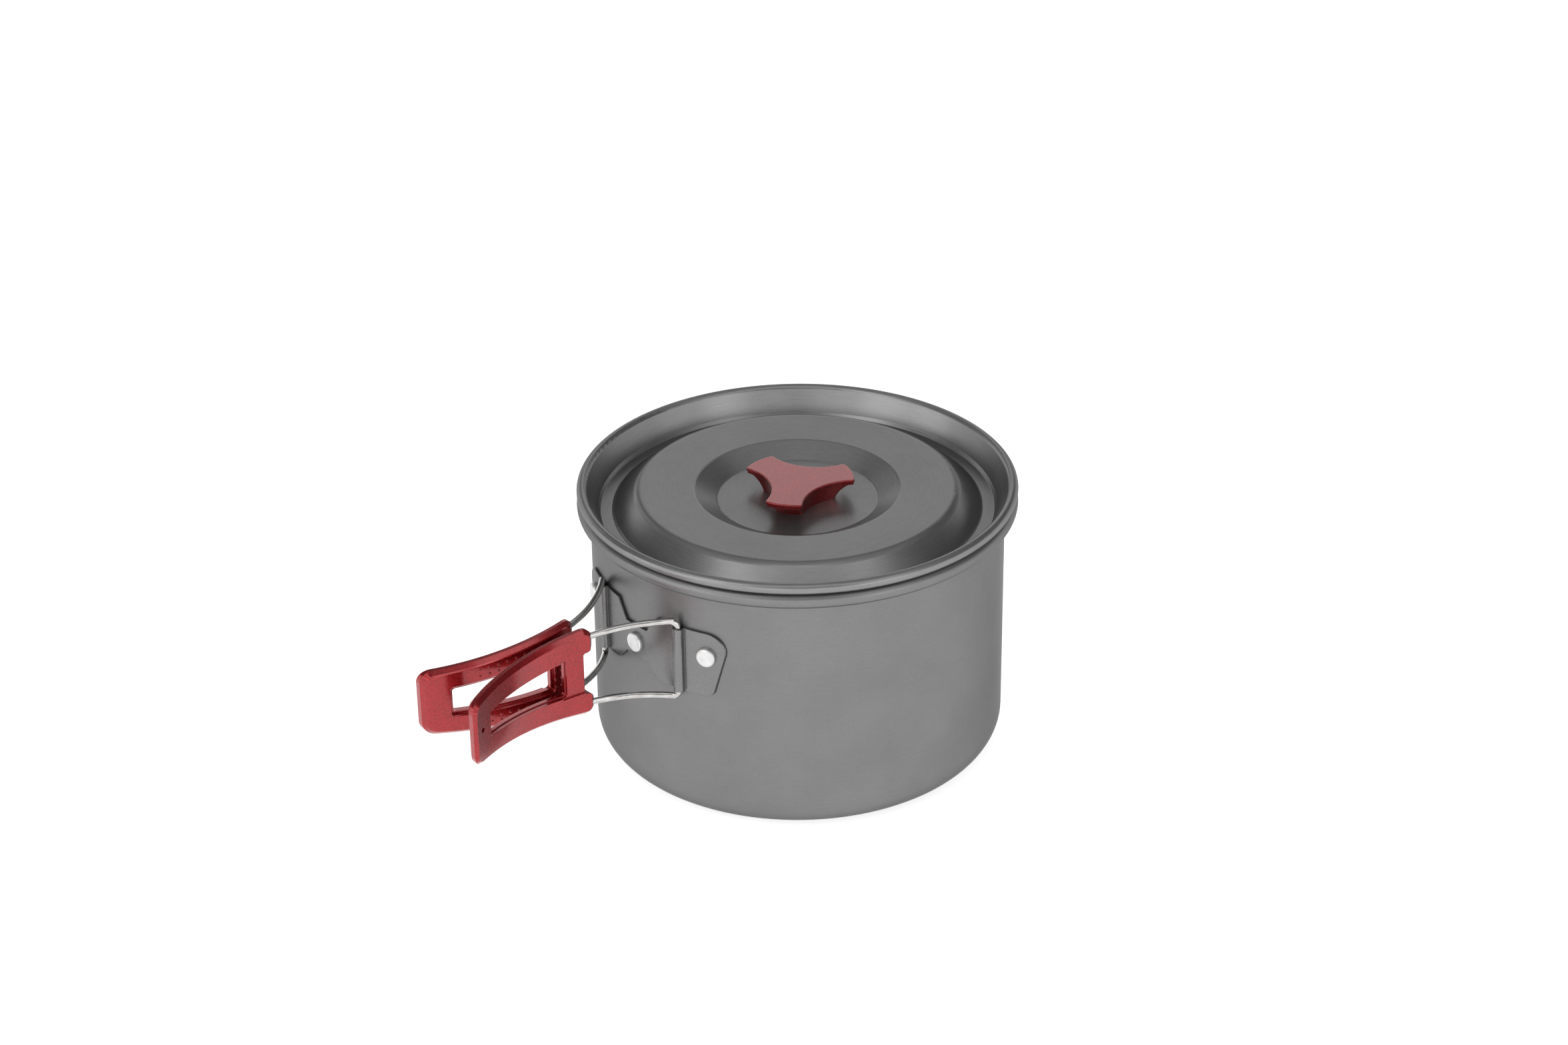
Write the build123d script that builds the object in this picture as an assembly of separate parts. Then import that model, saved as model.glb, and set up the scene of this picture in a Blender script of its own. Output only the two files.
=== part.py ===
from build123d import *
import math
import os

# Camping cook pot with lid. Millimetres, +Z up.
# Origin: centre of the pot's underside, on the pot's axis.
# The two fold-out handles hang on one bracket, which is centred on +X.

SPARE = 5.0                # cutting shapes reach this far past what they cut
SAME = 0.01                # places this close count as one

# ---- pot ----
POT_RADIUS = 87.0          # outside of the wall
POT_SHEET = 0.9            # drawn aluminium sheet
POT_CORNER = 14.0          # outside radius between base and wall
RIM_CURL = 2.3             # inside radius of the rolled rim
RIM_CENTRE_Z = 111.6       # height of the rolled rim's centre
RIM_TURN = 292.0           # how far round the rim is rolled, degrees
RIVET_FIT = 0.05           # radial play of a rivet shank in its hole

# ---- lid ----
LID_SHEET = 0.7
LID_CURL = 2.3             # outside radius of the rolled edge
LID_CURL_R = 90.15         # radius of the ring that the curl's centre runs on
LID_CURL_Z = 117.4
LID_CURL_END = -112.0      # where the rolled edge stops, degrees
SKIRT_FOOT_R = 83.7        # lowest point of the steep skirt inside the pot
SKIRT_FOOT_Z = 109.2
CHANNEL_OUT_R = 82.6       # floor of the channel inside the skirt
CHANNEL_IN_R = 77.2
CHANNEL_Z = 107.8
CROWN_OUT_R = 67.3         # raised flat ring
CROWN_OUT_Z = 116.6
CROWN_IN_R = 43.3
CROWN_IN_Z = 116.1
DISH_R = 33.8              # sunk dish that holds the knob
DISH_Z = 111.0
LID_ROUNDS = [1.6, 2.0, 5.0, 1.8, 0.5, 0.9]    # at the section's corners, from the dish outwards

# ---- knob and its screw ----
KNOB_TOP_Z = 119.6
KNOB_RADIUS = 24.0
KNOB_PLATE = 2.3           # height of the rim of the knob's top plate
KNOB_STEP = 0.35           # the rim's lower half steps in by this much
SCALLOP_OFFSET = 34.5      # three round hollows leave three lobes
SCALLOP_RADIUS = 22.5
LOBE_FIRST = 34.3          # direction of the first lobe, degrees from +X
LOBE_CORNER = 1.2
LOBE_EDGE = 0.45
SKIRT_TOP_RADIUS = 22.9    # the lobes' undersides sweep in from this
SKIRT_MIDDLE_RADIUS = 18.6
SKIRT_MIDDLE_Z = 114.9
SKIRT_FOOT_RADIUS = 15.6   # to this at the dish
SKIRT_HOLLOWS = (1.0, 1.3, 1.7)    # the hollows grow by this under the plate, half way and at the dish
INSERT_RADIUS = 3.0        # threaded brass insert moulded into the knob
INSERT_LENGTH = 5.5
SCREW_RADIUS = 1.95
SCREW_HEAD_RADIUS = 4.0
SCREW_HEAD = 2.2
WASHER_RADIUS = 6.0
WASHER_THICK = 0.8
SCREW_HEAD_ROUND = 1.0
SCREW_SHORT = 1.0          # the screw stops this far short of the insert's end
CROSS_LENGTH = 4.4         # cross slot in the screw's head
CROSS_WIDTH = 0.9
CROSS_DEPTH = 1.0
KNOB_HOLE_RADIUS = 2.2

# ---- bracket ----
PLATE_GAP = 0.3            # between the pot wall and the plate, which only the rivets bridge
PLATE = 0.9
PLATE_TOP = 91.0
PLATE_BOTTOM = 62.0
WAIST_TOP = 82.8
WAIST_BOTTOM = 68.5
WAIST_HALF = 6.6           # half width where the waist is narrowest
WAIST_SHOULDER_TOP = 12.2
WAIST_SHOULDER_BOTTOM = 12.9
FLAP_TOP_Y = 45.3          # corners of the flap before rounding
FLAP_BOTTOM_Y = 38.0
FLAP_TOP_ROUND = 7.5
FLAP_BOTTOM_ROUND = 3.5
RIVET_HEAD_RADIUS = 4.25
RIVET_HEAD = 2.0
RIVET_CROWN = 1.2          # round of the head's outer edge
RIVET_OVERLAP = 0.2        # the shank runs this far into both heads
RIVET_SHANK = 2.0
RIVET_INNER_RADIUS = 4.0
RIVET_INNER = 1.1
MIDDLE_RIVET_Z = 75.3
SIDE_RIVET_Z = 80.6
SIDE_RIVET_DEG = 24.0

# ---- handles ----
WIRE = 1.35                # wire radius
WIRE_FIT = 0.08            # radial play of the wire in the bracket's barrel
BARREL_SKIN = 0.9          # sheet left round the barrel
PIVOT_R = 89.0             # the wire's upright leg, from the pot's axis
PIVOT_DEG = 15.8
LEG_TOP = 94.3             # centre line of the upper arm at the leg
LEG_BOTTOM = 59.0          # and of the lower arm
GRIP_MID_Z = 75.4          # the grip is the same above and below this height
ARM_END_HALF = 15.0        # half the height between the arms where they enter the grip
BEND = 2.9                 # bend of the wire at the leg's ends
ARM_TURN = 32.0            # the arm's own curve in plan, degrees
ARM_ROUND = 60.0
WIRE_IN_GRIP = 7.5
BORE_PAST = 0.3            # the wire's hole in the grip goes this much deeper
BORE_FIT = 0.02            # and is this much wider in radius
ARM_SET = 0.3              # the arm enters the grip this much nearer the hollow face
GRIP_START = 30.1          # leg to the grip's lug end, along +X
GRIP_FACE_R = 92.6         # hollow face, which lies round the wall when folded
GRIP_FACE_DROP = 18.7      # the hollow face's nearest point to the middle plane, from the leg
GRIP_VERTEX = 20.4         # that point, from the lug end along +X
GRIP_THICK = 5.2
GRIP_LENGTH = 67.4         # along +X
LUG_HALF = 19.9            # half height at the wire end
TIP_HALF = 14.2            # half height at the free end
LUG_STEP = 4.4             # the lugs reach this far past the web
WEB_HALF = 9.5
WEB_RECESS = 0.8           # the web's hollow face lies this much deeper
WEB_LEDGE = 0.5            # which leaves a ledge of this height above and below
WEB_MARGIN = 1.0
RIM_MARGIN = 0.1
LUG_ROUND = 4.0
TIP_ROUND = 5.5
GRIP_BEVEL = 1.75
WINDOW_START = 12.9        # from the lug end
WINDOW_END = 55.8
WINDOW_START_HALF = 8.0
WINDOW_END_HALF = 5.2
WINDOW_ROUND = 1.2
HOLLOW_SIDE_STEP = 0.45    # the window is wider at the hollow face by this much all round
HOLLOW_SIDE_DEPTH = 1.9    # as deep as this
OUTER_SIDE_STEP = 1.1      # and at the outer face
OUTER_SIDE_DEPTH = 1.6
WINDOW_BEVEL = 0.4
TIP_HOLE_RADIUS = 1.1
TIP_HOLE_DEPTH = 3.0
TIP_HOLE_IN = 5.6          # from the free end
TIP_HOLE_UP = 1.0
LEFT_REST = 2.5            # the left handle stands open by this many degrees more

POT_INNER = POT_RADIUS - POT_SHEET
PLATE_INNER = POT_RADIUS + PLATE_GAP
PLATE_OUTER = PLATE_INNER + PLATE
PIVOT = Vector(
    PIVOT_R * math.cos(math.radians(PIVOT_DEG)),
    PIVOT_R * math.sin(math.radians(PIVOT_DEG)),
    0,
)


def revolved(path, thickness):
    """Solid of revolution from a smooth (radius, height) path; the sheet lies on the path's left
    when its thickness is positive, and on its right when it is negative."""
    face_edges = []
    near_side = []
    here = min((e @ t for e in path.edges() for t in (0, 1)), key=lambda p: p.X)
    left = list(path.edges())
    while left:
        edge = min(left, key=lambda e: min((e @ 0 - here).length, (e @ 1 - here).length))
        left.remove(edge)
        forward = (edge @ 0 - here).length < (edge @ 1 - here).length
        stops = (0, 0.5, 1) if forward else (1, 0.5, 0)
        along = 1 if forward else -1
        shifted = []
        for t in stops:
            tangent = (edge % t) * along
            shifted.append(edge @ t + Vector(-tangent.Y, tangent.X, 0) * thickness)
        straight = edge.geom_type == GeomType.LINE
        near_side.append(edge)
        face_edges.append(Line(shifted[0], shifted[2]) if straight else ThreePointArc(*shifted))
        here = edge @ stops[2]
        if len(near_side) == 1:
            opening = Line(edge @ stops[0], shifted[0])
    closing = Line(here, shifted[2])
    outline = Wire([*near_side, *face_edges, opening, closing])
    return revolve(Plane.XZ * Face(outline), Axis.Z)


def rivet_places():
    """Direction in degrees and height of the three rivets."""
    return {
        "rivet_middle": (0.0, MIDDLE_RIVET_Z),
        "rivet_right": (SIDE_RIVET_DEG, SIDE_RIVET_Z),
        "rivet_left": (-SIDE_RIVET_DEG, SIDE_RIVET_Z),
    }


def radial_pin(radius, start, end, degrees, height):
    """Round bar on a radius of the pot, between two distances from the axis."""
    plane = Plane(origin=(0, 0, height), x_dir=(0, 0, 1), z_dir=(1, 0, 0)).rotated((0, 0, degrees))
    return plane * Pos(0, 0, (start + end) / 2) * Cylinder(radius, end - start)


def rivet_holes():
    holes = [
        radial_pin(RIVET_SHANK + RIVET_FIT, POT_INNER - SPARE, PLATE_OUTER + SPARE, degrees, height)
        for degrees, height in rivet_places().values()
    ]
    return Part() + holes


def pot_body():
    curl_r = POT_RADIUS + RIM_CURL
    path = Line((0, 0), (POT_RADIUS - POT_CORNER, 0))
    path += CenterArc((POT_RADIUS - POT_CORNER, POT_CORNER), POT_CORNER, -90, 90)
    path += Line((POT_RADIUS, POT_CORNER), (POT_RADIUS, RIM_CENTRE_Z))
    path += CenterArc((curl_r, RIM_CENTRE_Z), RIM_CURL, 180, -RIM_TURN)
    return revolved(path, POT_SHEET) - rivet_holes()


def lid_shell():
    dx = LID_CURL_R - SKIRT_FOOT_R
    dz = LID_CURL_Z - SKIRT_FOOT_Z
    lean = math.atan2(dz, dx) + math.asin(LID_CURL / math.hypot(dx, dz))
    start = math.degrees(lean) + 90
    touch = (
        LID_CURL_R + LID_CURL * math.cos(math.radians(start)),
        LID_CURL_Z + LID_CURL * math.sin(math.radians(start)),
    )
    path = FilletPolyline(
        (0, DISH_Z),
        (DISH_R, DISH_Z),
        (CROWN_IN_R, CROWN_IN_Z),
        (CROWN_OUT_R, CROWN_OUT_Z),
        (CHANNEL_IN_R, CHANNEL_Z),
        (CHANNEL_OUT_R, CHANNEL_Z),
        (SKIRT_FOOT_R, SKIRT_FOOT_Z),
        touch,
        radius=LID_ROUNDS,
    )
    path += CenterArc((LID_CURL_R, LID_CURL_Z), LID_CURL, start, LID_CURL_END - start)
    hole = Pos(0, 0, DISH_Z) * Cylinder(KNOB_HOLE_RADIUS, 2 * SPARE)
    return revolved(path, -LID_SHEET) - hole


def lobed_face(radius, grow=0.0):
    """Three lobes that reach to a radius, between round hollows that may be made larger."""
    face = Circle(radius)
    for k in range(3):
        direction = math.radians(LOBE_FIRST + 60 + 120 * k)
        place = (SCALLOP_OFFSET * math.cos(direction), SCALLOP_OFFSET * math.sin(direction))
        face -= Pos(*place) * Circle(SCALLOP_RADIUS + grow)
    return fillet(face.vertices(), LOBE_CORNER)


def lid_knob():
    under_z = KNOB_TOP_Z - KNOB_PLATE
    half = KNOB_PLATE / 2
    plate = Pos(0, 0, under_z + half) * extrude(lobed_face(KNOB_RADIUS), half)
    rims = plate.edges().filter_by(lambda e: abs(e.center().Z - KNOB_TOP_Z) < SAME)
    plate = fillet(rims, LOBE_EDGE)
    plate += Pos(0, 0, under_z) * extrude(lobed_face(KNOB_RADIUS - KNOB_STEP, KNOB_STEP), half)
    radii = (SKIRT_TOP_RADIUS, SKIRT_MIDDLE_RADIUS, SKIRT_FOOT_RADIUS)
    heights = (under_z, SKIRT_MIDDLE_Z, DISH_Z)
    sections = [Pos(0, 0, z) * lobed_face(r, g) for r, z, g in zip(radii, heights, SKIRT_HOLLOWS)]
    skirt = loft(sections)
    pocket = Pos(0, 0, DISH_Z + INSERT_LENGTH / 2) * Cylinder(INSERT_RADIUS, INSERT_LENGTH)
    return plate + skirt - pocket


def knob_insert():
    bush = Cylinder(INSERT_RADIUS, INSERT_LENGTH) - Cylinder(SCREW_RADIUS, INSERT_LENGTH)
    return Pos(0, 0, DISH_Z + INSERT_LENGTH / 2) * bush


def knob_washer():
    ring = Cylinder(WASHER_RADIUS, WASHER_THICK) - Cylinder(KNOB_HOLE_RADIUS, WASHER_THICK)
    return Pos(0, 0, DISH_Z - LID_SHEET - WASHER_THICK / 2) * ring


def knob_screw():
    seat = DISH_Z - LID_SHEET - WASHER_THICK
    length = DISH_Z + INSERT_LENGTH - SCREW_SHORT - seat
    head = Pos(0, 0, seat - SCREW_HEAD / 2) * Cylinder(SCREW_HEAD_RADIUS, SCREW_HEAD)
    low = head.edges().filter_by(lambda e: e.center().Z < seat - SCREW_HEAD + SAME)
    head = fillet(low, SCREW_HEAD_ROUND)
    shank = Pos(0, 0, seat + length / 2) * Cylinder(SCREW_RADIUS, length)
    slot = Pos(0, 0, seat - SCREW_HEAD + CROSS_DEPTH / 2) * Box(CROSS_LENGTH, CROSS_WIDTH, CROSS_DEPTH)
    return head + shank - [slot, slot.rotate(Axis.Z, 90)]


def bracket_outline():
    """Right half of the bracket seen along -X, as (y, z)."""
    half = [
        (0, WAIST_TOP),
        (WAIST_HALF, WAIST_TOP),
        (WAIST_SHOULDER_TOP, PLATE_TOP),
        (FLAP_TOP_Y, PLATE_TOP),
        (FLAP_BOTTOM_Y, PLATE_BOTTOM),
        (WAIST_SHOULDER_BOTTOM, PLATE_BOTTOM),
        (WAIST_HALF, WAIST_BOTTOM),
        (0, WAIST_BOTTOM),
    ]
    face = make_face(Polyline(*half, close=True))
    rounds = {
        (FLAP_TOP_Y, PLATE_TOP): FLAP_TOP_ROUND,
        (FLAP_BOTTOM_Y, PLATE_BOTTOM): FLAP_BOTTOM_ROUND,
    }
    for (y, z), radius in rounds.items():
        corner = face.vertices().sort_by_distance((y, z, 0))[0]
        face = fillet(corner, radius)
    return face + mirror(face, Plane.YZ)


def barrel_place(side):
    return Pos(PIVOT.X, side * PIVOT.Y, (PLATE_TOP + PLATE_BOTTOM) / 2) * Rot(0, 0, side * PIVOT_DEG)


def handle_bracket():
    view = Plane(origin=(POT_RADIUS / 2, 0, 0), x_dir=(0, 1, 0), z_dir=(1, 0, 0))
    blank = extrude(view * bracket_outline(), POT_RADIUS)
    height = PLATE_TOP - PLATE_BOTTOM
    ring = Cylinder(PLATE_OUTER, 2 * PLATE_TOP) - Cylinder(PLATE_INNER, 2 * PLATE_TOP)
    plate = blank & ring
    bore = WIRE + WIRE_FIT
    skin = bore + BARREL_SKIN
    core = Cylinder(PLATE_INNER, 3 * PLATE_TOP)
    for side in (1, -1):
        shell = Cylinder(skin, height) + Pos(-skin / 2, 0, 0) * Box(skin, 2 * skin, height)
        plate += barrel_place(side) * shell - core
    for side in (1, -1):
        channel = Cylinder(bore, 2 * height) + Pos(-bore, 0, 0) * Box(2 * bore, 2 * bore, 2 * height)
        plate -= barrel_place(side) * channel
    return plate - rivet_holes()


def rivet(degrees, height):
    plane = Plane(origin=(0, 0, height), x_dir=(0, 0, 1), z_dir=(1, 0, 0)).rotated((0, 0, degrees))
    seat = PLATE_OUTER
    inner_seat = POT_INNER * math.cos(math.asin(RIVET_INNER_RADIUS / POT_INNER))
    head = plane * Pos(0, 0, seat + RIVET_HEAD / 2) * Cylinder(RIVET_HEAD_RADIUS, RIVET_HEAD)
    crown = head.edges().filter_by(GeomType.CIRCLE).sort_by_distance((0, 0, height))[-1]
    head = fillet(crown, RIVET_CROWN)
    shank = radial_pin(RIVET_SHANK, inner_seat - RIVET_OVERLAP, seat + RIVET_OVERLAP, degrees, height)
    tail = radial_pin(RIVET_INNER_RADIUS, inner_seat - RIVET_INNER, inner_seat, degrees, height)
    return head + shank + tail


def turned(part, side):
    """A right-handle piece, or its mirror image swung to where the left handle rests."""
    if side > 0:
        return part
    part = mirror(part, Plane.XZ)
    return Pos(PIVOT.X, -PIVOT.Y, 0) * Rot(0, 0, -LEFT_REST) * Pos(-PIVOT.X, PIVOT.Y, 0) * part


def face_centre():
    """Centre of the grip's hollow face, in plan."""
    return Vector(PIVOT.X + GRIP_START + GRIP_VERTEX, PIVOT.Y - GRIP_FACE_DROP + GRIP_FACE_R, 0)


def arm_end():
    """Where the wire enters the grip, in plan."""
    middle = GRIP_FACE_R + GRIP_THICK / 2 - ARM_SET
    centre = face_centre()
    return Vector(centre.X - GRIP_VERTEX, centre.Y - math.sqrt(middle**2 - GRIP_VERTEX**2), 0)


def wire_path(up):
    """Half of the wire: leg, bend, curved arm and the length inside the grip (up = 1 or -1)."""
    leg_z = LEG_TOP if up > 0 else LEG_BOTTOM
    end_z = GRIP_MID_Z + up * ARM_END_HALF
    end = arm_end()
    chord = end - PIVOT
    direction = math.atan2(chord.Y, chord.X)
    half_turn = math.radians(ARM_TURN / 2)
    out = Vector(math.cos(direction - half_turn), math.sin(direction - half_turn), 0)
    inward = Vector(math.cos(direction + half_turn), math.sin(direction + half_turn), 0)
    corner = PIVOT + out * (chord.length / 2 / math.cos(half_turn))
    return [
        Vector(PIVOT.X, PIVOT.Y, (LEG_TOP + LEG_BOTTOM) / 2),
        Vector(PIVOT.X, PIVOT.Y, leg_z),
        Vector(corner.X, corner.Y, (leg_z + end_z) / 2),
        Vector(end.X, end.Y, end_z) + inward * WIRE_IN_GRIP,
    ]


def handle_wire():
    halves = []
    for up in (1, -1):
        points = wire_path(up)
        path = FilletPolyline(*points, radius=[BEND, ARM_ROUND])
        section = Plane(origin=points[0], z_dir=(0, 0, up)) * Circle(WIRE)
        halves.append(sweep(section, path=path))
    return halves[0] + halves[1]


def wire_bores():
    """Holes in the grip for the two ends of the wire."""
    holes = []
    for up in (1, -1):
        points = wire_path(up)
        run = (points[3] - points[2]).normalized()
        start = points[3] - run * (WIRE_IN_GRIP + SPARE)
        plane = Plane(origin=start, z_dir=run)
        length = WIRE_IN_GRIP + SPARE + BORE_PAST
        holes.append(plane * Pos(0, 0, length / 2) * Cylinder(WIRE + BORE_FIT, length))
    return Part() + holes


def grip_outline():
    """The grip seen square on, as (distance from the lug end, height from the middle)."""
    points = [(0, LUG_HALF), (GRIP_LENGTH, TIP_HALF), (GRIP_LENGTH, -TIP_HALF), (0, -LUG_HALF)]
    face = make_face(Polyline(*points, close=True))
    lugs = face.vertices().sort_by(Axis.X)[:2]
    face = fillet(lugs, LUG_ROUND)
    tips = face.vertices().sort_by(Axis.X)[-2:]
    return fillet(tips, TIP_ROUND)


def notch_outline():
    """The gap between the two lugs, whose inner corners are round too."""
    notch = Pos(LUG_STEP / 2 - SPARE, 0) * Rectangle(LUG_STEP + 2 * SPARE, 2 * WEB_HALF)
    for up in (1, -1):
        middle = (LUG_ROUND, up * (WEB_HALF + LUG_ROUND))
        corner = Pos(0, up * (WEB_HALF + LUG_ROUND / 2)) * Rectangle(2 * LUG_ROUND, LUG_ROUND)
        notch += corner - Pos(*middle) * Circle(LUG_ROUND)
    return notch


def window_outline(grow=0.0):
    points = [
        (WINDOW_START - grow, WINDOW_START_HALF + grow),
        (WINDOW_END + grow, WINDOW_END_HALF + grow),
        (WINDOW_END + grow, -WINDOW_END_HALF - grow),
        (WINDOW_START - grow, -WINDOW_START_HALF - grow),
    ]
    face = make_face(Polyline(*points, close=True))
    return fillet(face.vertices(), WINDOW_ROUND)


def on_drum(edge, centre, radius):
    """True where both ends and the middle of an edge lie on a drum of this radius."""
    return all(
        abs(math.hypot((edge @ t).X - centre.X, (edge @ t).Y - centre.Y) - radius) < SAME
        for t in (0, 0.5, 1)
    )


def handle_grip():
    centre = face_centre()
    lug_x = PIVOT.X + GRIP_START
    face_y = centre.Y - GRIP_FACE_R
    outer_r = GRIP_FACE_R + GRIP_THICK
    view = Plane(origin=(lug_x, face_y - GRIP_LENGTH, GRIP_MID_Z), x_dir=(1, 0, 0), z_dir=(0, -1, 0))

    def through(face):
        return extrude(view * face, -2 * GRIP_LENGTH)

    def drum(radius):
        return Pos(centre.X, centre.Y, GRIP_MID_Z) * Cylinder(radius, 4 * LUG_HALF)

    grip = through(grip_outline()) & (drum(outer_r) - drum(GRIP_FACE_R))
    for radius in (GRIP_FACE_R, outer_r):
        grip = chamfer([e for e in grip.edges() if on_drum(e, centre, radius)], GRIP_BEVEL)
    grip -= through(notch_outline())
    grip -= through(window_outline())
    grip -= through(window_outline(HOLLOW_SIDE_STEP)) & drum(GRIP_FACE_R + HOLLOW_SIDE_DEPTH)
    grip -= through(window_outline(OUTER_SIDE_STEP)) - drum(outer_r - OUTER_SIDE_DEPTH)
    rim_z = WINDOW_START_HALF + OUTER_SIDE_STEP + RIM_MARGIN
    rim = [
        e
        for e in grip.edges()
        if on_drum(e, centre, outer_r)
        and max(abs((e @ t).Z - GRIP_MID_Z) for t in (0, 0.5, 1)) < rim_z
        and min((e @ t).X for t in (0, 1)) > lug_x + LUG_STEP + WEB_MARGIN
    ]
    grip = chamfer(rim, WINDOW_BEVEL)
    web_middle = (WINDOW_START + LUG_STEP) / 2
    web_length = WINDOW_START - LUG_STEP + 4 * WEB_MARGIN
    web = Pos(web_middle, 0) * Rectangle(web_length, 2 * (WEB_HALF - WEB_LEDGE))
    grip -= through(web) & drum(GRIP_FACE_R + WEB_RECESS)
    hole_x = lug_x + GRIP_LENGTH - TIP_HOLE_IN
    hole_y = centre.Y - math.sqrt(GRIP_FACE_R**2 - (hole_x - centre.X) ** 2)
    mouth = Plane(origin=(hole_x, hole_y, GRIP_MID_Z + TIP_HOLE_UP), z_dir=(0, -1, 0))
    grip -= mouth * Cylinder(TIP_HOLE_RADIUS, 2 * TIP_HOLE_DEPTH)
    return grip - wire_bores()


def build_parts():
    parts = {
        "pot_body": pot_body(),
        "handle_bracket": handle_bracket(),
        "lid_shell": lid_shell(),
        "lid_knob": lid_knob(),
        "knob_insert": knob_insert(),
        "knob_washer": knob_washer(),
        "knob_screw": knob_screw(),
    }
    for name, (degrees, height) in rivet_places().items():
        parts[name] = rivet(degrees, height)
    wire = handle_wire()
    grip = handle_grip()
    for side, word in ((1, "right"), (-1, "left")):
        parts[f"handle_wire_{word}"] = turned(wire, side)
        parts[f"handle_grip_{word}"] = turned(grip, side)
    return parts


def main():
    os.makedirs("parts", exist_ok=True)
    for name, part in build_parts().items():
        export_step(part, f"parts/{name}.step")


main()
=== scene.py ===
import math

import bmesh
import bpy
from mathutils import Matrix, Vector


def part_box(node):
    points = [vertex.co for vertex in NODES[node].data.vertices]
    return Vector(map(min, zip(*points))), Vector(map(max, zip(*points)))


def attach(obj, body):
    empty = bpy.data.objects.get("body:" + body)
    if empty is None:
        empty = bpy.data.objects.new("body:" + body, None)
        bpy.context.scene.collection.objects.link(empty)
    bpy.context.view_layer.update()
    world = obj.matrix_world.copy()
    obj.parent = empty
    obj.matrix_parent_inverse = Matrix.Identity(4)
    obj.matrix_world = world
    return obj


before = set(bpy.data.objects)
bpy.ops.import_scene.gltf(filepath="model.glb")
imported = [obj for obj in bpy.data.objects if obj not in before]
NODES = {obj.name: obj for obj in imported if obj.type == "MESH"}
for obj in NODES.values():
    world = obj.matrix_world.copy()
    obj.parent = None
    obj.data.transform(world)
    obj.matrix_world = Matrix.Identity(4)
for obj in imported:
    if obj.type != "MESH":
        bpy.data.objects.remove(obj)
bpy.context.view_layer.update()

# ---- camera ----
CAMERA_PLACE = Vector((0.8545, 0.9845, 0.7998))
CAMERA_TARGET = Vector((0.00436, -0.00375, 0.09891))
CAMERA_ROLL = math.radians(-0.632)
CAMERA_LENS = 80.665
SENSOR_WIDTH = 36.0

# ---- room ----
FLOOR_HALF = 4.0
FLOOR_COLOUR = (0.90, 0.90, 0.90)
FLOOR_GLOW = 0.62           # the floor is a lit white sheet
FLOOR_MOTTLE = 1.02         # its lightest patches against its darkest

# Brightness of the room by height above the horizon (sine of the angle).
ROOM_TONES = [(0.0, 1.15), (0.28, 1.15), (0.34, 0.12), (0.72, 0.12), (0.78, 0.50), (1.0, 0.50)]

# Soft boxes round the pot, as (direction in degrees, brightness), by height in degrees.
SOFT_BOXES = {
    22: [(-30, 1.6), (0, 2.0), (30, 1.5), (60, 1.1), (90, 1.9), (120, 0.7)],
    25: [(230, 1.0), (270, 0.6)],
    50: [(0, 2.3), (100, 1.25)],
    75: [(50, 0.8)],
}
BOX_DISTANCE = 1.9
BOX_SIDE = 0.8
POT_MIDDLE = Vector((0.0, 0.0, 0.08))

# ---- finishes ----
# Colours are given as (darkest, lightest) of a finish.
POT_GREY = ((0.145, 0.145, 0.146), (0.255, 0.255, 0.256))
PLATE_GREY = ((0.15, 0.15, 0.151), (0.27, 0.27, 0.27))
RIVET_WHITE = ((0.60, 0.60, 0.60), (0.72, 0.72, 0.72))
WIRE_GREY = ((0.42, 0.41, 0.40), (0.56, 0.55, 0.54))
STEEL_GREY = ((0.52, 0.52, 0.53), (0.68, 0.68, 0.69))
BRASS_YELLOW = ((0.55, 0.40, 0.16), (0.78, 0.60, 0.28))
KNOB_RED = ((0.15, 0.002, 0.004), (0.31, 0.005, 0.008))
GRIP_RED = ((0.19, 0.004, 0.007), (0.40, 0.010, 0.015))

# Depths that the fine marks are shaded with.
GRAIN_DEPTH = 0.00004
SCUFF_DEPTH = 0.00003
WAVE_DEPTH = 0.0002
RED_EDGE = 0.0003           # how far the red pieces' edges look rounded

# Anodised aluminium stays grey where it is seen along its surface.
EDGE_TINT = (0.45, 0.45, 0.45, 1.0)

# ---- pips on the grips' outer faces ----
PIP_RADIUS = 0.0007
PIP_HEIGHT = 0.00038
PIP_SINK = 0.0001
RAY_START = 0.1             # how far off a grip the pips are dropped from
RAIL_PIPS = 8
RAIL_PIP_FIRST = 0.0456     # the pip nearest the free end, from the lug end
RAIL_PIP_PITCH = 0.00393
RAIL_PIP_ROWS = (0.0037, 0.0065)    # outside the window's edge
WINDOW_START = 0.0129
WINDOW_START_HALF = 0.0080
WINDOW_TAPER = 0.0653
WEB_PIP_COLUMNS = (0.0086, 0.0116)
WEB_PIP_PITCH = 0.0035


def socket_value(node, name, value):
    node.inputs[name].default_value = value


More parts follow.
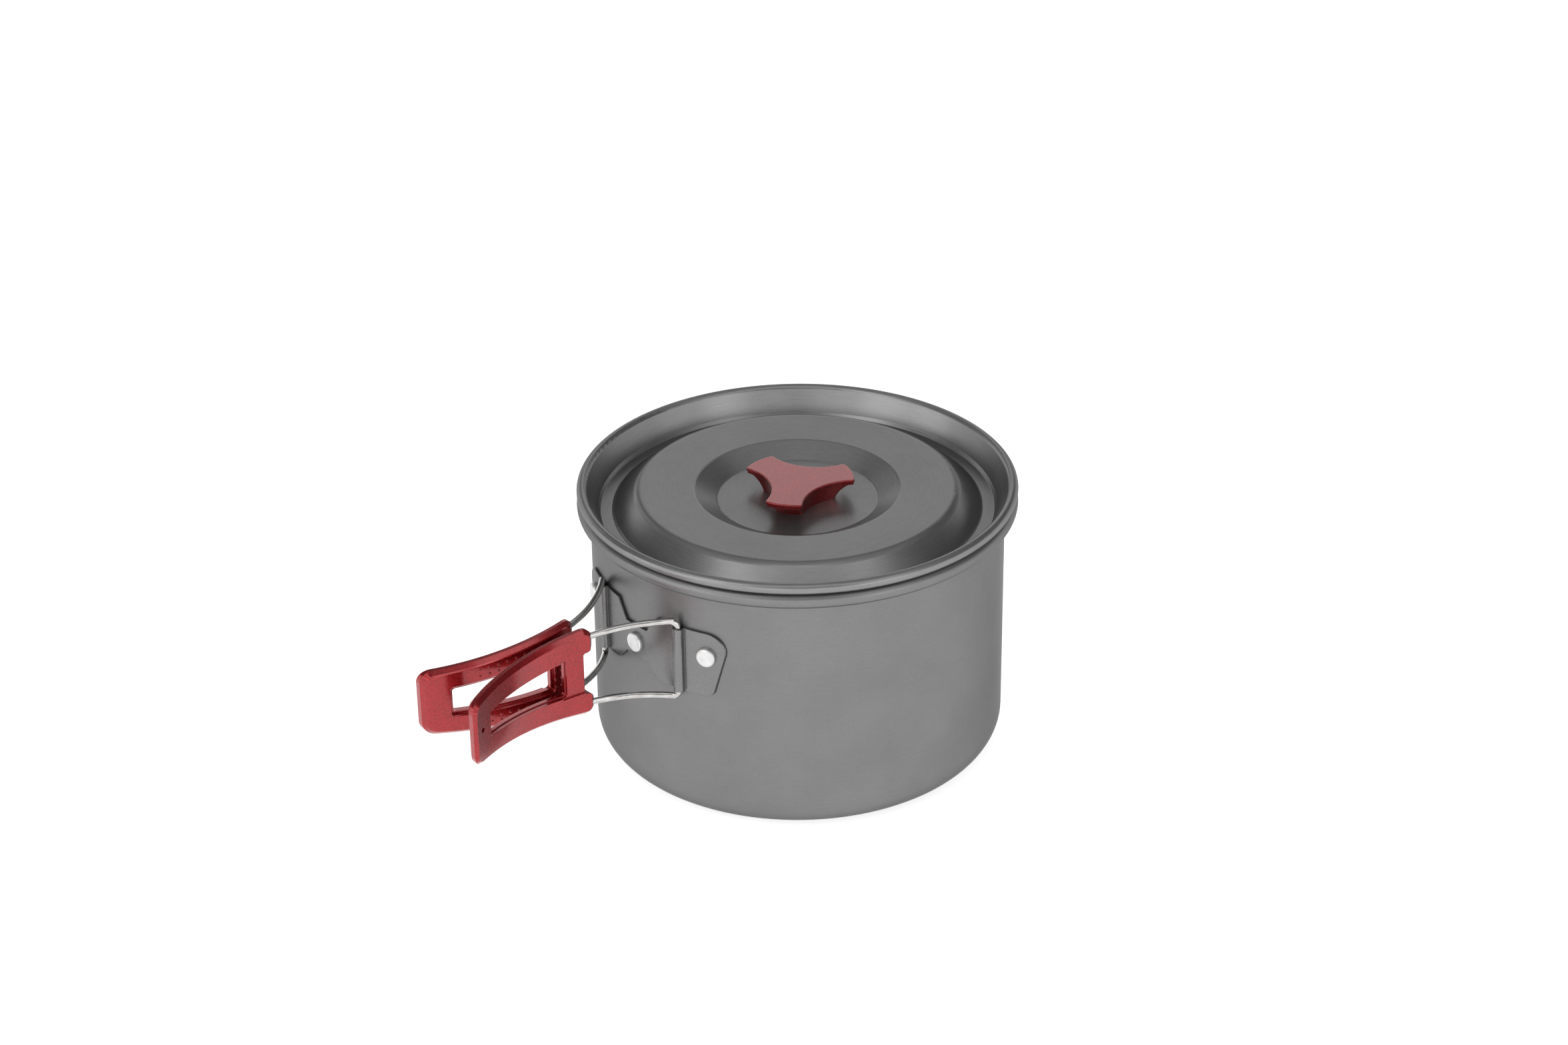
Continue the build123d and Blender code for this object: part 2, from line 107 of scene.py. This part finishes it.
class Recipe:
    """A node material that is built up a few nodes at a time."""

    def __init__(self, name):
        self.material = bpy.data.materials.new(name)
        self.material.use_nodes = True
        self.tree = self.material.node_tree
        self.tree.nodes.clear()
        self.output = self.tree.nodes.new("ShaderNodeOutputMaterial")
        self.shader = self.tree.nodes.new("ShaderNodeBsdfPrincipled")
        self.link(self.shader.outputs["BSDF"], self.output.inputs["Surface"])
        self.place = self.tree.nodes.new("ShaderNodeTexCoord").outputs["Object"]

    def link(self, source, target):
        self.tree.links.new(source, target)

    def node(self, kind, **values):
        made = self.tree.nodes.new(kind)
        for key, value in values.items():
            setattr(made, key, value)
        return made

    def noise(self, scale, detail=3.0, roughness=0.6, place=None):
        made = self.node("ShaderNodeTexNoise")
        socket_value(made, "Scale", scale)
        socket_value(made, "Detail", detail)
        socket_value(made, "Roughness", roughness)
        self.link(place or self.place, made.inputs["Vector"])
        return made.outputs["Fac"]

    def ramp(self, factor, low, high, from_low=0.0, from_high=1.0):
        made = self.node("ShaderNodeMapRange")
        socket_value(made, "From Min", from_low)
        socket_value(made, "From Max", from_high)
        socket_value(made, "To Min", low)
        socket_value(made, "To Max", high)
        self.link(factor, made.inputs["Value"])
        return made.outputs["Result"]

    def math(self, operation, first, second):
        made = self.node("ShaderNodeMath", operation=operation)
        for socket, value in zip(made.inputs, (first, second)):
            if isinstance(value, (int, float)):
                socket.default_value = value
            else:
                self.link(value, socket)
        return made.outputs["Value"]

    def colours(self, factor, colours, margin):
        """Goes from the first colour to the second, and holds each one over a margin at its end."""
        made = self.node("ShaderNodeValToRGB")
        places = (margin, 1.0 - margin)
        for element, position, colour in zip(made.color_ramp.elements, places, colours):
            element.position = position
            element.color = (*colour, 1.0)
        self.link(factor, made.inputs["Fac"])
        return made.outputs["Color"]

    def bump(self, height, strength, distance, under=None):
        made = self.node("ShaderNodeBump")
        socket_value(made, "Strength", strength)
        socket_value(made, "Distance", distance)
        self.link(height, made.inputs["Height"])
        if under is not None:
            self.link(under, made.inputs["Normal"])
        return made.outputs["Normal"]

    def soft_edges(self, radius):
        made = self.node("ShaderNodeBevel", samples=4)
        socket_value(made, "Radius", radius)
        return made.outputs["Normal"]


def ring_grain(recipe, rings, stretch):
    """Fine marks that run round the pot's axis, as turning and pressing leave them."""
    split = recipe.node("ShaderNodeSeparateXYZ")
    recipe.link(recipe.place, split.inputs["Vector"])
    x, y, z = (split.outputs[axis] for axis in "XYZ")
    squares = recipe.math("ADD", recipe.math("MULTIPLY", x, x), recipe.math("MULTIPLY", y, y))
    radius = recipe.math("SQRT", squares, 0.0)
    angle = recipe.math("ARCTAN2", y, x)
    joined = recipe.node("ShaderNodeCombineXYZ")
    recipe.link(recipe.math("MULTIPLY", radius, rings), joined.inputs["X"])
    recipe.link(recipe.math("MULTIPLY", z, rings), joined.inputs["Y"])
    recipe.link(recipe.math("MULTIPLY", angle, stretch), joined.inputs["Z"])
    return recipe.noise(1.0, detail=4.0, roughness=0.65, place=joined.outputs["Vector"])


def anodised(name, colours, roughness, rings, edge=0.0):
    """Hard-anodised aluminium: satin grey with a fine grain, faint turning marks and slow mottling."""
    recipe = Recipe(name)
    grain = recipe.noise(3200.0, detail=2.0, roughness=0.7)
    mottle = recipe.noise(38.0, detail=4.0, roughness=0.55)
    marks = ring_grain(recipe, rings=2600.0, stretch=9.0)
    mixed = recipe.math("ADD", recipe.math("MULTIPLY", grain, 0.5), recipe.math("MULTIPLY", mottle, 0.25))
    mixed = recipe.math("ADD", mixed, recipe.math("MULTIPLY", marks, rings * 0.5))
    tone = recipe.colours(mixed, colours, margin=0.25)
    recipe.link(tone, recipe.shader.inputs["Base Color"])
    recipe.link(recipe.ramp(mixed, roughness - 0.06, roughness + 0.07), recipe.shader.inputs["Roughness"])
    socket_value(recipe.shader, "Metallic", 0.85)
    socket_value(recipe.shader, "Specular Tint", EDGE_TINT)
    under = recipe.soft_edges(edge) if edge else None
    fine = recipe.bump(grain, 0.25, GRAIN_DEPTH, under)
    turned = recipe.bump(marks, 0.12 * rings, GRAIN_DEPTH, fine)
    recipe.link(turned, recipe.shader.inputs["Normal"])
    return recipe.material


def bright_metal(name, colours, roughness, grain_scale, relief, edge=0.0):
    """Bare bright metal with small scuffs and an uneven shine."""
    recipe = Recipe(name)
    scuffs = recipe.noise(grain_scale, detail=5.0, roughness=0.7)
    patches = recipe.noise(260.0, detail=3.0, roughness=0.5)
    recipe.link(recipe.colours(patches, colours, margin=0.3), recipe.shader.inputs["Base Color"])
    shine = recipe.ramp(scuffs, roughness * 0.7, roughness * 1.5, from_low=0.3, from_high=0.7)
    recipe.link(shine, recipe.shader.inputs["Roughness"])
    socket_value(recipe.shader, "Metallic", 1.0)
    under = recipe.soft_edges(edge) if edge else None
    recipe.link(recipe.bump(scuffs, relief, SCUFF_DEPTH, under), recipe.shader.inputs["Normal"])
    return recipe.material


def candy_red(name, colours, roughness, flake_strength, pebble):
    """Metallic red coat on moulded plastic: flakes under a clear gloss layer."""
    recipe = Recipe(name)
    flakes = recipe.node("ShaderNodeTexVoronoi")
    socket_value(flakes, "Scale", 3600.0)
    recipe.link(recipe.place, flakes.inputs["Vector"])
    speck = recipe.node("ShaderNodeSeparateColor")
    recipe.link(flakes.outputs["Color"], speck.inputs["Color"])
    cloud = recipe.noise(90.0, detail=4.0, roughness=0.6)
    specks = recipe.math("MULTIPLY", speck.outputs["Red"], 0.6)
    mixed = recipe.math("ADD", specks, recipe.math("MULTIPLY", cloud, 0.4))
    recipe.link(recipe.colours(mixed, colours, margin=0.2), recipe.shader.inputs["Base Color"])
    recipe.link(recipe.ramp(mixed, roughness - 0.07, roughness + 0.08), recipe.shader.inputs["Roughness"])
    socket_value(recipe.shader, "Metallic", 0.8)
    socket_value(recipe.shader, "Coat Weight", 0.8)
    socket_value(recipe.shader, "Coat Roughness", 0.12)
    edges = recipe.soft_edges(RED_EDGE)
    grain = recipe.bump(speck.outputs["Green"], flake_strength, GRAIN_DEPTH, edges)
    waves = recipe.noise(700.0, detail=2.0, roughness=0.5)
    surface = recipe.bump(waves, pebble, WAVE_DEPTH, grain)
    recipe.link(surface, recipe.shader.inputs["Normal"])
    smooth = recipe.bump(waves, pebble * 0.6, WAVE_DEPTH, edges)
    recipe.link(smooth, recipe.shader.inputs["Coat Normal"])
    return recipe.material


def floor_paper():
    """White sheet with a faint slow mottling."""
    recipe = Recipe("studio_floor")
    tone = recipe.noise(6.0, detail=3.0, roughness=0.5)
    lightest = tuple(FLOOR_MOTTLE * level for level in FLOOR_COLOUR)
    white = recipe.colours(tone, (FLOOR_COLOUR, lightest), margin=0.3)
    recipe.link(white, recipe.shader.inputs["Base Color"])
    socket_value(recipe.shader, "Roughness", 0.9)
    socket_value(recipe.shader, "Emission Color", (1.0, 1.0, 1.0, 1.0))
    socket_value(recipe.shader, "Emission Strength", FLOOR_GLOW)
    return recipe.material


def paint(node, material):
    slots = NODES[node].material_slots
    for slot in slots:
        slot.material = material
    if not slots:
        NODES[node].data.materials.append(material)


def paint_frame(red_grip):
    """Gives every CAD piece its finish."""
    body = anodised("pot_anodised", POT_GREY, roughness=0.38, rings=0.35)
    lid = anodised("lid_anodised", POT_GREY, roughness=0.30, rings=1.0)
    plate = anodised("bracket_anodised", PLATE_GREY, roughness=0.28, rings=0.2, edge=0.00035)
    rivet = bright_metal("rivet_bright", RIVET_WHITE, 0.40, grain_scale=1500.0, relief=0.10, edge=0.0003)
    wire = bright_metal("wire_polished", WIRE_GREY, 0.13, grain_scale=2600.0, relief=0.03)
    steel = bright_metal("plated_steel", STEEL_GREY, 0.28, grain_scale=1200.0, relief=0.10, edge=0.0002)
    brass = bright_metal("turned_brass", BRASS_YELLOW, 0.3, grain_scale=1400.0, relief=0.10, edge=0.0002)
    red_knob = candy_red("knob_red", KNOB_RED, roughness=0.26, flake_strength=0.25, pebble=0.06)
    finishes = {
        "pot_body": body,
        "lid_shell": lid,
        "handle_bracket": plate,
        "rivet_middle": rivet,
        "rivet_right": rivet,
        "rivet_left": rivet,
        "handle_wire_right": wire,
        "handle_wire_left": wire,
        "handle_grip_right": red_grip,
        "handle_grip_left": red_grip,
        "lid_knob": red_knob,
        "knob_insert": brass,
        "knob_washer": steel,
        "knob_screw": steel,
    }
    for node, material in finishes.items():
        paint(node, material)


def dome(mesh, place, normal):
    """One low round pip standing on a surface."""
    turn = normal.to_track_quat("Z", "Y").to_matrix().to_4x4()
    made = bmesh.ops.create_uvsphere(mesh, u_segments=12, v_segments=8, radius=PIP_RADIUS)
    squash = Matrix.Diagonal((1, 1, PIP_HEIGHT / PIP_RADIUS, 1))
    seat = Matrix.Translation(place - normal * PIP_SINK)
    bmesh.ops.transform(mesh, matrix=seat @ turn @ squash, verts=made["verts"])


def pip_places():
    """Places of the pips on a grip's outer face, as (from the lug end, height from the middle)."""
    places = [(along, step * WEB_PIP_PITCH) for along in WEB_PIP_COLUMNS for step in range(-2, 3)]
    for column in range(RAIL_PIPS):
        along = RAIL_PIP_FIRST - column * RAIL_PIP_PITCH
        edge = WINDOW_START_HALF - WINDOW_TAPER * (along - WINDOW_START)
        for row in RAIL_PIP_ROWS:
            places += [(along, edge + row), (along, -edge - row)]
    return places


def grip_pips(word, side, material):
    """Pips on a grip's outer face, set down on the CAD surface."""
    grip = NODES["handle_grip_" + word]
    low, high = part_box("handle_grip_" + word)
    middle = (low.z + high.z) / 2
    mesh = bmesh.new()
    for along, height in pip_places():
        start = Vector((low.x + along, -side * RAY_START, middle + height))
        hit, place, normal, _ = grip.ray_cast(start, Vector((0, side, 0)))
        if hit:
            dome(mesh, place, normal)
    data = bpy.data.meshes.new("grip_pips_" + word)
    mesh.to_mesh(data)
    mesh.free()
    data.materials.append(material)
    for face in data.polygons:
        face.use_smooth = True
    pips = bpy.data.objects.new("grip_pips_" + word, data)
    bpy.context.scene.collection.objects.link(pips)
    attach(pips, word + "_handle")


def camera():
    """Long lens, looking down at the pot from its near right side."""
    forward = (CAMERA_TARGET - CAMERA_PLACE).normalized()
    right = forward.cross(Vector((0, 0, 1))).normalized()
    up = right.cross(forward)
    turn = Matrix((right, up, -forward)).transposed() @ Matrix.Rotation(CAMERA_ROLL, 3, "Z")
    data = bpy.data.cameras.new("photo_camera")
    data.lens = CAMERA_LENS
    data.sensor_width = SENSOR_WIDTH
    data.clip_end = 20.0
    made = bpy.data.objects.new("photo_camera", data)
    made.matrix_world = Matrix.Translation(CAMERA_PLACE) @ turn.to_4x4()
    bpy.context.scene.collection.objects.link(made)
    bpy.context.scene.camera = made


def floor():
    """White floor under the pot."""
    mesh = bmesh.new()
    corners = [(-1, -1), (1, -1), (1, 1), (-1, 1)]
    mesh.faces.new([mesh.verts.new((x * FLOOR_HALF, y * FLOOR_HALF, 0.0)) for x, y in corners])
    data = bpy.data.meshes.new("studio_floor")
    mesh.to_mesh(data)
    mesh.free()
    data.materials.append(floor_paper())
    made = bpy.data.objects.new("studio_floor", data)
    bpy.context.scene.collection.objects.link(made)


def soft_light(name, direction, height, brightness):
    """A square box that faces the middle of the pot."""
    around, up = math.radians(direction), math.radians(height)
    way = Vector((math.cos(up) * math.cos(around), math.cos(up) * math.sin(around), math.sin(up)))
    data = bpy.data.lights.new(name, "AREA")
    data.shape = "SQUARE"
    data.size = BOX_SIDE
    data.energy = brightness * math.pi * BOX_SIDE**2
    made = bpy.data.objects.new(name, data)
    made.location = POT_MIDDLE + way * BOX_DISTANCE
    made.rotation_mode = "QUATERNION"
    made.rotation_quaternion = (-way).to_track_quat("-Z", "Y")
    bpy.context.scene.collection.objects.link(made)


def room():
    """A room that is bright up to 16 degrees above the horizon and dimmer over that, with soft boxes
    that give the metal its highlights."""
    world = bpy.data.worlds.new("studio_room")
    world.use_nodes = True
    tree = world.node_tree
    tree.nodes.clear()
    output = tree.nodes.new("ShaderNodeOutputWorld")
    background = tree.nodes.new("ShaderNodeBackground")
    place = tree.nodes.new("ShaderNodeTexCoord")
    split = tree.nodes.new("ShaderNodeSeparateXYZ")
    ramp = tree.nodes.new("ShaderNodeValToRGB")
    tree.links.new(place.outputs["Generated"], split.inputs["Vector"])
    tree.links.new(split.outputs["Z"], ramp.inputs["Fac"])
    while len(ramp.color_ramp.elements) < len(ROOM_TONES):
        ramp.color_ramp.elements.new(0.5)
    for element, (position, grey) in zip(ramp.color_ramp.elements, ROOM_TONES):
        element.position = position
        element.color = (grey, grey, grey, 1.0)
    tree.links.new(ramp.outputs["Color"], background.inputs["Color"])
    background.inputs["Strength"].default_value = 1.0
    tree.links.new(background.outputs["Background"], output.inputs["Surface"])
    bpy.context.scene.world = world
    for height, boxes in SOFT_BOXES.items():
        for direction, brightness in boxes:
            soft_light(f"box_{height}_{direction % 360}", direction, height, brightness)
    bpy.context.scene.view_settings.view_transform = "Standard"


camera()
floor()
room()
RED_COAT = candy_red("grip_red", GRIP_RED, roughness=0.24, flake_strength=0.20, pebble=0.03)
paint_frame(RED_COAT)
grip_pips("right", 1, RED_COAT)
grip_pips("left", -1, RED_COAT)
